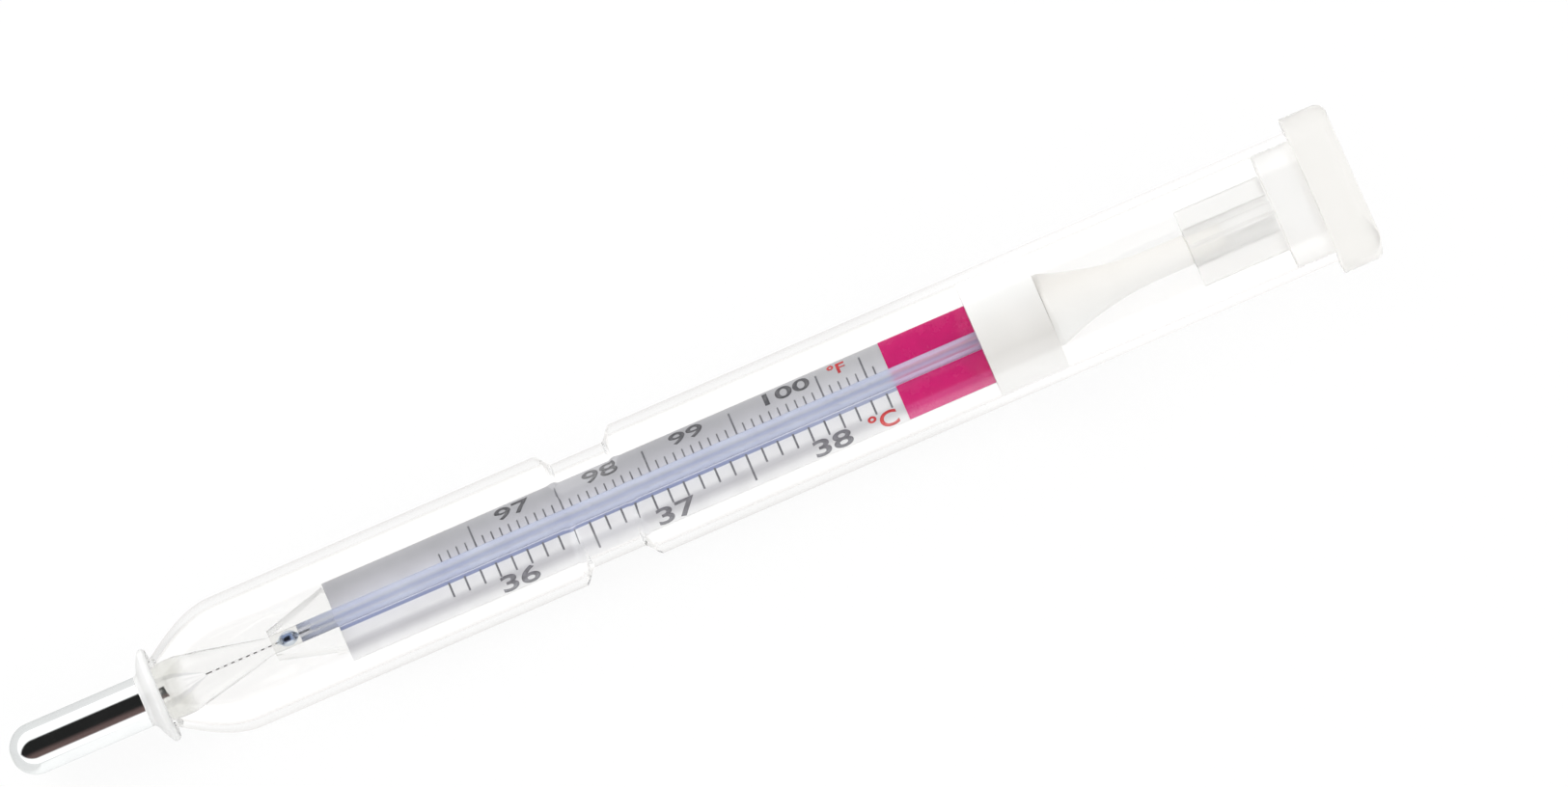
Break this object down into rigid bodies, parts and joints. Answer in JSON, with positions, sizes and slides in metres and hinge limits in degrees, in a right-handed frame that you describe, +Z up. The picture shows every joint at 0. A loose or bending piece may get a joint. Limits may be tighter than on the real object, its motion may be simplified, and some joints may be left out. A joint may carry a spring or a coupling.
{
  "type": "clinical thermometer",
  "caption": "Enclosed-scale clinical thermometer: mercury bulb, capillary and double-scale plate sealed in a flattened glass envelope with a plug, a stopper and a cap.",
  "frame": {"origin": "middle of the length and width, on the surface that the thermometer's back lies on", "axes": "+X from the bulb to the cap, +Y towards the edge with the Fahrenheit scale, +Z up, out of the face of the scale"},
  "size_m": [0.1264, 0.0146, 0.0088],
  "materials": {
    "envelope_glass": "clear fire-polished glass",
    "collar_glass": "white-looking fused glass",
    "bulb_glass": "thin clear glass with a green cast",
    "stem_glass": "clear glass",
    "capillary_glass": "clear drawn capillary glass",
    "backing_enamel": "blue enamel",
    "mercury": "liquid metal",
    "saddle_clear": "clear moulded plastic",
    "plate_metal": "satin silver, printed",
    "block_lacquer": "magenta lacquer",
    "plug_white": "soft white plug",
    "stem_plastic": "off-white moulded plastic",
    "stopper_clear": "clear moulded plastic"
  },
  "bodies": {
    "thermometer": {"bulb": "bulb_glass", "bulb_mercury": "mercury", "neck_collar": "collar_glass", "constriction_stem": "stem_glass", "throat_mercury": "mercury", "capillary_tube": "capillary_glass", "capillary_backing": "backing_enamel", "mercury_column": "mercury", "plate_saddle": "saddle_clear", "scale_plate": "plate_metal", "colour_blocks": "block_lacquer", "plate_plug": "plug_white", "stopper_stem": "stem_plastic", "end_stopper": "stopper_clear", "outer_envelope": "envelope_glass"},
    "mercury_top": {"mercury_index": "mercury"}
  },
  "joints": [
    {"name": "mercury_rise", "type": "slide", "parent": "thermometer", "child": "mercury_top", "axis": [1, 0, 0], "range_m": [0, 0.0634], "deforming": ["mercury_column"]}
  ]
}
